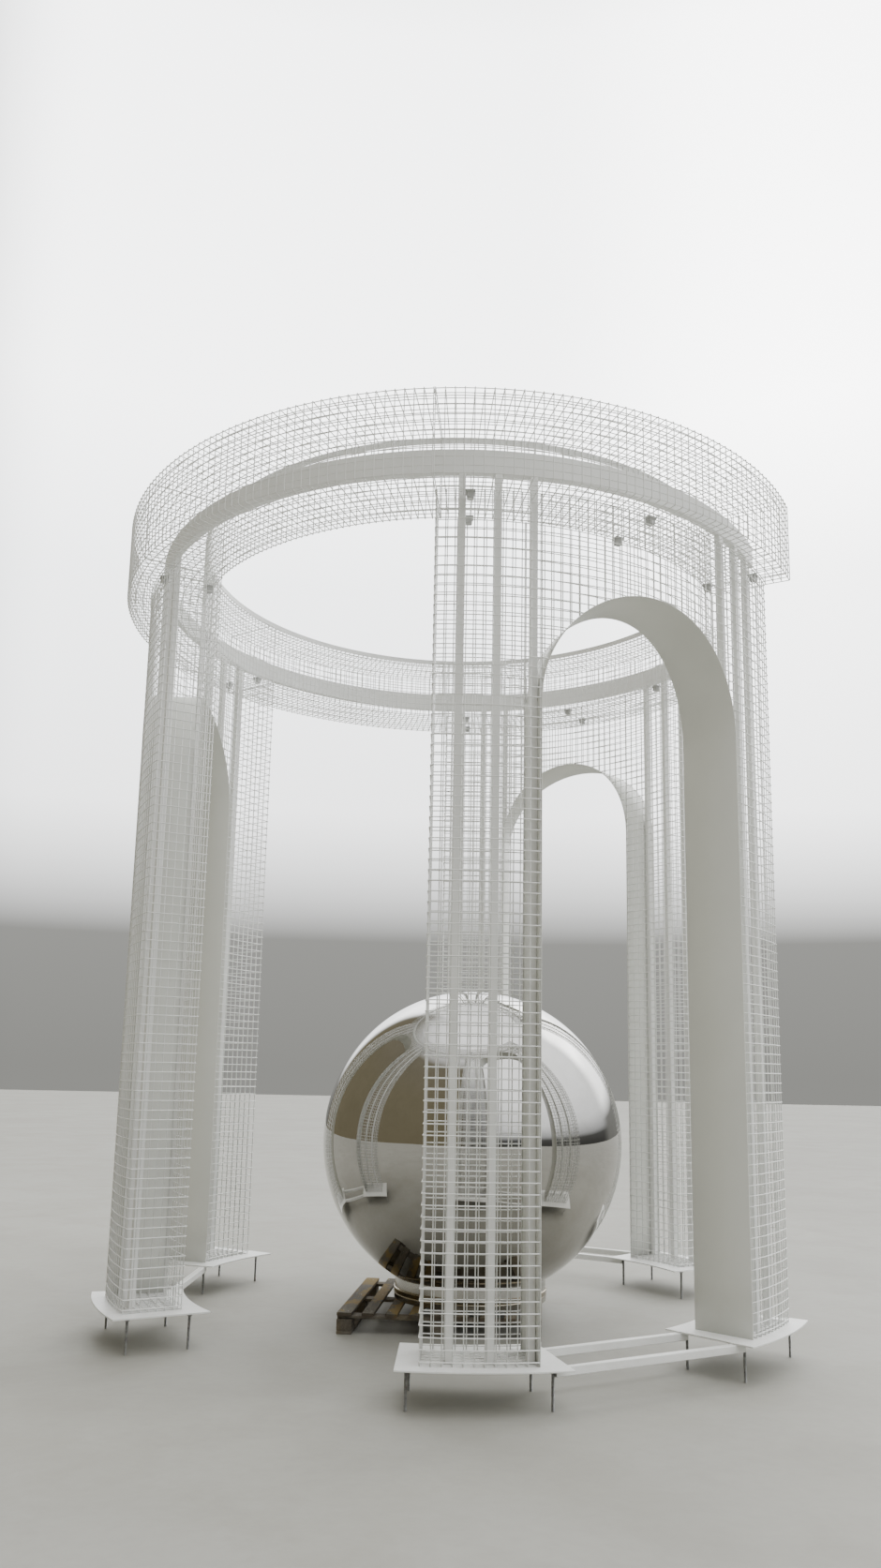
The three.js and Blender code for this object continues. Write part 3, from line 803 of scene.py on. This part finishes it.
def lining_sheet(azimuth):
    """Sheet round the opening: up one jamb, over the arch and down the other."""
    shape = Shape()
    near, near_rise = arch_edge()
    far, far_rise = arch_edge(LINING_THICKNESS)
    jamb = spread(PLATE_TOP, ARCH_SPRING, LINING_JAMB_STEPS)[:-1]
    stations = [(-near, -far, z, z) for z in jamb]
    for turn in spread(math.pi, 0.0, LINING_ARCH_STEPS):
        stations.append((near * math.cos(turn), far * math.cos(turn),
                         ARCH_SPRING + near_rise * math.sin(turn),
                         ARCH_SPRING + far_rise * math.sin(turn)))
    stations += [(near, far, z, z) for z in reversed(jamb)]
    edge, part = LINING_BEVEL, LINING_BEVEL / LINING_THICKNESS
    section = ((INNER_RADIUS + edge, 0.0), (INNER_RADIUS, part),
               (INNER_RADIUS, 1 - part), (INNER_RADIUS + edge, 1.0),
               (WALL_RADIUS - edge, 1.0), (WALL_RADIUS, 1 - part),
               (WALL_RADIUS, part), (WALL_RADIUS - edge, 0.0))
    rings = []
    for s0, s1, z0, z1 in stations:
        ring = []
        for radius, depth in section:
            turn = (s0 + (s1 - s0) * depth) / WALL_RADIUS * DEGREES
            ring.append(polar(radius, azimuth + turn, z0 + (z1 - z0) * depth))
        rings.append(ring)
    shape.loft(rings, smooth=[False, False, False, True, False, False, False, True])
    return shape


def bracket(shape, radius, degrees):
    """Joint stub under the canopy: a clamp plate over a block that narrows downwards."""
    place = upright(radius, degrees)
    top = CANOPY_BOTTOM - JOINT_GAP
    rings = []
    for width, depth in BRACKET_LEVELS:
        outline, _ = rounded(width, width, BRACKET_ROUNDING)
        rings.append([place @ Vector((x, y, top - depth)) for x, y in outline])
    shape.loft(rings, smooth=False)


def bracket_pair(azimuth):
    """The stubs under both faces of the wall."""
    shape = Shape()
    for radius in (INNER_RADIUS + BRACKET_WIDTH / 2, WALL_RADIUS - BRACKET_WIDTH / 2):
        bracket(shape, radius, azimuth)
    return shape


# The sphere, its collar and the pallet ---------------------------------------------------------

sphere_low, sphere_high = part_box("mirror_sphere")
SPHERE_RADIUS = (sphere_high.z - sphere_low.z) / 2
SPHERE_CENTRE = (sphere_low + sphere_high) / 2
PALLET_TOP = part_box("pallet")[1].z


def mirror_ball():
    shape = Shape()
    centre, sides = np.array(SPHERE_CENTRE), BALL_SIDES
    points = []
    for i in range(1, BALL_BANDS):
        angle = math.pi * i / BALL_BANDS
        r, z = SPHERE_RADIUS * math.sin(angle), -SPHERE_RADIUS * math.cos(angle)
        points += [centre + polar(r, 360 * k / sides, z) for k in range(sides)]
    last = (BALL_BANDS - 2) * sides
    faces = []
    for i in range(0, last, sides):
        for k in range(sides):
            l = (k + 1) % sides
            faces.append((i + k, i + l, i + sides + l, i + sides + k))
    bottom, top = len(points), len(points) + 1
    points += [centre + (0.0, 0.0, z) for z in (-SPHERE_RADIUS, SPHERE_RADIUS)]
    for k in range(sides):
        l = (k + 1) % sides
        faces.append((bottom, l, k))
        faces.append((top, last + k, last + l))
    shape.store(np.array(points), faces, [True] * len(faces))
    return shape


def collar():
    shape = Shape()
    top = collar_high.z - collar_low.z
    profile = [(COLLAR_RADIUS + out, up) for out, up in COLLAR_FOOT]
    profile += [(COLLAR_RADIUS + out, top + up) for out, up in COLLAR_LIP]
    centre = (SPHERE_CENTRE.x, SPHERE_CENTRE.y, collar_low.z)
    shape.lathe(profile, centre, COLLAR_SIDES, closed=True)
    return shape


PALLET_PLACE = (Matrix.Translation((*PALLET_CENTRE, 0))
                @ Matrix.Rotation(math.radians(PALLET_TURN), 4, "Z"))


def board(shape, draw, width, length, thickness, x, y, bottom, along="y", steps=BOARD_STEPS):
    """Sawn board with worn, slightly uneven edges, its ends a little smaller."""
    seed = draw.uniform(0, 100)
    tone = draw.random()
    edge = min(BOARD_EDGE, thickness * 0.15)
    half_w, half_t = width / 2 - BOARD_PLAY[0], thickness / 2 - BOARD_PLAY[1]
    outline = [(half_w - edge, -half_t), (half_w, -half_t + edge), (half_w, half_t - edge),
               (half_w - edge, half_t), (-half_w + edge, half_t), (-half_w, half_t - edge),
               (-half_w, -half_t + edge), (-half_w + edge, -half_t)]
    rings = []
    for i in range(steps + 1):
        t = -length / 2 + BOARD_SETBACK + (length - 2 * BOARD_SETBACK) * i / steps
        shrink = BOARD_END_SHARE if i in (0, steps) else 1.0
        ring = []
        for k, (a, b) in enumerate(outline):
            wobble = abs(noise.noise(Vector((seed + t * 9, k * 0.7, seed))))
            a2 = (a - math.copysign(BOARD_WEAR[0], a) * wobble) * shrink
            b2 = b - math.copysign(BOARD_WEAR[1], b) * wobble
            dx, dy = (a2, t) if along == "y" else (t, a2)
            ring.append(PALLET_PLACE @ Vector((x + dx, y + dy, bottom + thickness / 2 + b2)))
        rings.append(ring)
    shape.loft(rings, smooth=False, tone=tone)


def pallet_pieces():
    """Deck boards, cross boards with foot boards, blocks, and the nails of the deck."""
    draw = random.Random(17)
    deck, frame_boards, blocks, nails = Shape(), Shape(), Shape(), Shape()
    deck_bottom = PALLET_TOP - DECK_THICKNESS
    stringer_bottom = deck_bottom - STRINGER_THICKNESS
    edge = (PALLET_WIDTH - DECK_EDGE_BOARD) / 2
    columns = [column * (PALLET_WIDTH - BLOCK_WIDTH) / 2 for column in (-1, 0, 1)]
    rows = [row * (PALLET_LENGTH - BLOCK_LENGTH) / 2 for row in (-1, 0, 1)]
    deck_places = spread(-edge, edge, DECK_BOARDS - 1)
    for i, x in enumerate(deck_places):
        width = DECK_EDGE_BOARD if i in (0, DECK_BOARDS - 1) else DECK_BOARD
        board(deck, draw, width, PALLET_LENGTH, DECK_THICKNESS, x, 0.0, deck_bottom)
    for y in rows:
        board(frame_boards, draw, STRINGER_WIDTH, PALLET_WIDTH, STRINGER_THICKNESS, 0.0, y,
              stringer_bottom, along="x")
        for x in columns:
            board(blocks, draw, BLOCK_WIDTH, BLOCK_LENGTH, stringer_bottom - FOOT_THICKNESS, x, y,
                  FOOT_THICKNESS, steps=BLOCK_STEPS)
    for x in columns:
        board(frame_boards, draw, BLOCK_WIDTH, PALLET_LENGTH, FOOT_THICKNESS, x, 0.0, 0.0)
    for x in deck_places:
        for y in rows:
            for dx, dy in NAIL_PLACES:
                off_x, off_y = (draw.uniform(-play, play) for play in NAIL_PLAY)
                at = PALLET_PLACE @ Vector((x + dx + off_x, y + dy + off_y, PALLET_TOP))
                nails.lathe(NAIL_PROFILE, at, NAIL_SIDES, smooth=False)
    return deck, frame_boards, blocks, nails


# Build everything ------------------------------------------------------------------------------

draw = random.Random(5)
for letter, azimuth in UNIT_AZIMUTHS.items():
    unit = "arch_" + letter
    for word, side in (("right", -1), ("left", 1)):
        name = f"{unit}_{word}"
        mesh_node, base_node = name + "_pier_mesh", name + "_base_frame"
        pier_wires(azimuth, side).finish(name + "_pier_wires", WHITE, "white_paint", mesh_node)
        base_plate(azimuth, side).finish(name + "_base_plate", WHITE, "white_paint", base_node)
        posts(azimuth, side).finish(name + "_posts", WHITE, "white_paint", base_node)
        rods(azimuth, side).finish(name + "_rods", ZINC, "stainless", base_node)
        nuts(azimuth, side, draw).finish(name + "_nuts", ZINC, "stainless", base_node)
        bracket_pair(azimuth + side * BRACKET_ANGLE).finish(name + "_brackets", SHADED_STUB_PAINT,
                                                            "white_paint", mesh_node)
    spandrel_nodes = [f"{unit}_{word}_spandrel_mesh" for word in ("right", "left")]
    bracket_pair(azimuth).finish(unit + "_middle_brackets", SHADED_STUB_PAINT, "white_paint",
                                 spandrel_nodes[0])
    spandrel_wires(azimuth).finish(unit + "_spandrel_wires", WHITE, "white_paint", *spandrel_nodes)
    lining_sheet(azimuth).finish(unit + "_lining_sheet", LINING, "lining_paint", unit + "_lining")
    for word, radius in zip(("inner", "outer"), ROD_RADII):
        tie_tube(azimuth, radius).finish(f"{unit}_{word}_tie_tube", WHITE, "white_paint",
                                         f"{unit}_{word}_tie_bar")

spans = [("arch_" + letter, azimuth, UNIT_END_ANGLE, UNIT_CELLS, FREE_ENDS[letter])
         for letter, azimuth in UNIT_AZIMUTHS.items()]
spans += [("bridge_" + letters, azimuth, BRIDGE_HALF_ANGLE, BRIDGE_CELLS, ())
          for letters, azimuth in BRIDGE_AZIMUTHS.items()]
for name, azimuth, half, cells, free_ends in spans:
    wires = canopy_wires(azimuth, half, cells, free_ends)
    wires.finish(name + "_canopy_wires", WHITE, "white_paint", name + "_canopy_mesh")
    ring_beam(azimuth, half).finish(name + "_ring_beam_tube", WHITE, "white_paint",
                                    name + "_ring_beam")
    top_rim(azimuth, half).finish(name + "_top_rim_bar", WHITE, "white_paint", name + "_top_rim")

mirror_ball().finish("mirror_ball", MIRROR, "mirror_steel", "mirror_sphere")
collar().finish("collar_ring", STAINLESS, "stainless", "sphere_collar")
deck, frame_boards, blocks, nails = pallet_pieces()
deck.finish("pallet_deck", DECK_WOOD, "pallet_wood", "pallet")
frame_boards.finish("pallet_boards", FRAME_WOOD, "pallet_wood", "pallet")
blocks.finish("pallet_blocks", FRAME_WOOD, "pallet_wood", "pallet")
nails.finish("pallet_nails", ZINC, "stainless", "pallet")


# Floor, light and camera -----------------------------------------------------------------------

FLOOR_SIZE = 60.0
floor_mesh = bpy.data.meshes.new("floor")
corners = [(x * FLOOR_SIZE, y * FLOOR_SIZE, 0.0) for x, y in ((-1, -1), (1, -1), (1, 1), (-1, 1))]
floor_mesh.from_pydata(corners, [], [(0, 1, 2, 3)])
floor_mesh.materials.append(FLOOR)
floor = bpy.data.objects.new("floor", floor_mesh)
bpy.context.scene.collection.objects.link(floor)

world = bpy.data.worlds.new("soft_studio")
bpy.context.scene.world = world
world.use_nodes = True
sky = Nodes(world.node_tree)
direction = sky.node("ShaderNodeTexCoord").outputs["Generated"]
height = sky.axis(direction, "Z")
level = sky.node("ShaderNodeVectorMath", {0: direction, 1: (1, 1, 0)}, operation="MULTIPLY")
bearing = sky.node("ShaderNodeVectorMath", {0: level.outputs[0]}, operation="NORMALIZE").outputs[0]


def sector(azimuth, half, edge):
    """1 within half the angle of an azimuth, 0 beyond it, with a soft edge, all in degrees."""
    inputs = {0: bearing, 1: polar(1.0, azimuth, 0.0)}
    lean = sky.node("ShaderNodeVectorMath", inputs, operation="DOT_PRODUCT").outputs["Value"]
    far, near = (math.cos(math.radians(half + side * edge)) for side in (1, -1))
    return sky.span(lean, far, near, 0.0, 1.0, interpolation_type="SMOOTHSTEP")


SKY_STRENGTH = 5.0
# What the studio shows at each height, from level at 0 to straight up at 1
HORIZON = ((0.0, (0.062, 0.062, 0.058)), (0.11, (0.074, 0.074, 0.070)))
ZENITH = ((0.82, (0.46, 0.465, 0.47)), (1.0, (0.56, 0.565, 0.57)))
BACKDROP = (*HORIZON, (0.22, (0.60, 0.605, 0.61)), (0.40, (0.76, 0.775, 0.79)),
            (0.52, (1.02, 1.03, 1.04)), (0.72, (1.04, 1.05, 1.06)), *ZENITH)
GLARE = (*HORIZON, (0.22, (0.72, 0.725, 0.73)), (0.40, (1.00, 1.005, 1.01)),
         (0.52, (1.55, 1.555, 1.56)), (0.72, (1.40, 1.405, 1.41)), *ZENITH)
FRONT = ((0.0, (0.020, 0.020, 0.019)), (0.05, (0.026, 0.026, 0.025)),
         (0.085, (0.05, 0.0505, 0.051)), (0.3, (0.07, 0.0707, 0.0715)),
         (0.6, (0.12, 0.121, 0.122)), *ZENITH)
EAST = ((0.0, (0.020, 0.020, 0.019)), (0.05, (0.030, 0.030, 0.029)),
        (0.085, (0.15, 0.152, 0.154)), (0.2, (0.36, 0.364, 0.368)),
        (0.5, (0.50, 0.506, 0.512)), (0.75, (0.56, 0.566, 0.572)), ZENITH[1])
WEST = ((0.0, (0.055, 0.048, 0.031)), (0.5, (0.060, 0.053, 0.035)),
        (0.82, (0.064, 0.058, 0.043)), (0.9, (0.32, 0.323, 0.326)), ZENITH[1])
light_field = sky.ramp(height, *FRONT)
for place, stops in (((190.0, 72.0, 5.0), WEST), ((345.0, 58.0, 16.0), EAST),
                     ((77.0, 39.0, 5.0), BACKDROP), ((57.0, 22.0, 8.0), GLARE)):
    light_field = sky.mix(sector(*place), light_field, sky.ramp(height, *stops))
background = sky.tree.nodes["Background"]
background.inputs["Strength"].default_value = SKY_STRENGTH
sky.tree.links.new(light_field, background.inputs["Color"])


def soft_light(name, energy, size, place, target):
    light = bpy.data.lights.new(name, "AREA")
    light.shape = "DISK"
    light.size = size
    light.energy = energy
    lamp = bpy.data.objects.new(name, light)
    lamp.location = place
    lamp.rotation_euler = (Vector(target) - Vector(place)).to_track_quat("-Z", "Y").to_euler()
    lamp.visible_glossy = False
    bpy.context.scene.collection.objects.link(lamp)


soft_light("top_light", 210.0, 6.0, (-1.5, 1.5, 11.0), (0.0, 0.0, 1.0))

FOCAL = 26.19
SHIFT = 0.0524
PITCH, YAW, ROLL, TURN = (math.radians(v) for v in (10.167, -0.818, 1.054, 0.45))
EYE = (0.0, -7.760, 1.553)

ahead = Vector((math.sin(YAW) * math.cos(PITCH), math.cos(YAW) * math.cos(PITCH), math.sin(PITCH)))
right = Vector((math.cos(YAW), -math.sin(YAW), 0.0))
up = right.cross(ahead)
across = math.cos(ROLL) * right + math.sin(ROLL) * up
upward = -math.sin(ROLL) * right + math.cos(ROLL) * up
pose = Matrix((across, upward, -ahead)).transposed().to_4x4()
pose.translation = EYE
lens = bpy.data.cameras.new("camera")
lens.sensor_width = 36.0
lens.lens = FOCAL
lens.shift_y = SHIFT
camera = bpy.data.objects.new("camera", lens)
camera.matrix_world = Matrix.Rotation(TURN, 4, "Z") @ pose
bpy.context.scene.collection.objects.link(camera)
bpy.context.scene.camera = camera
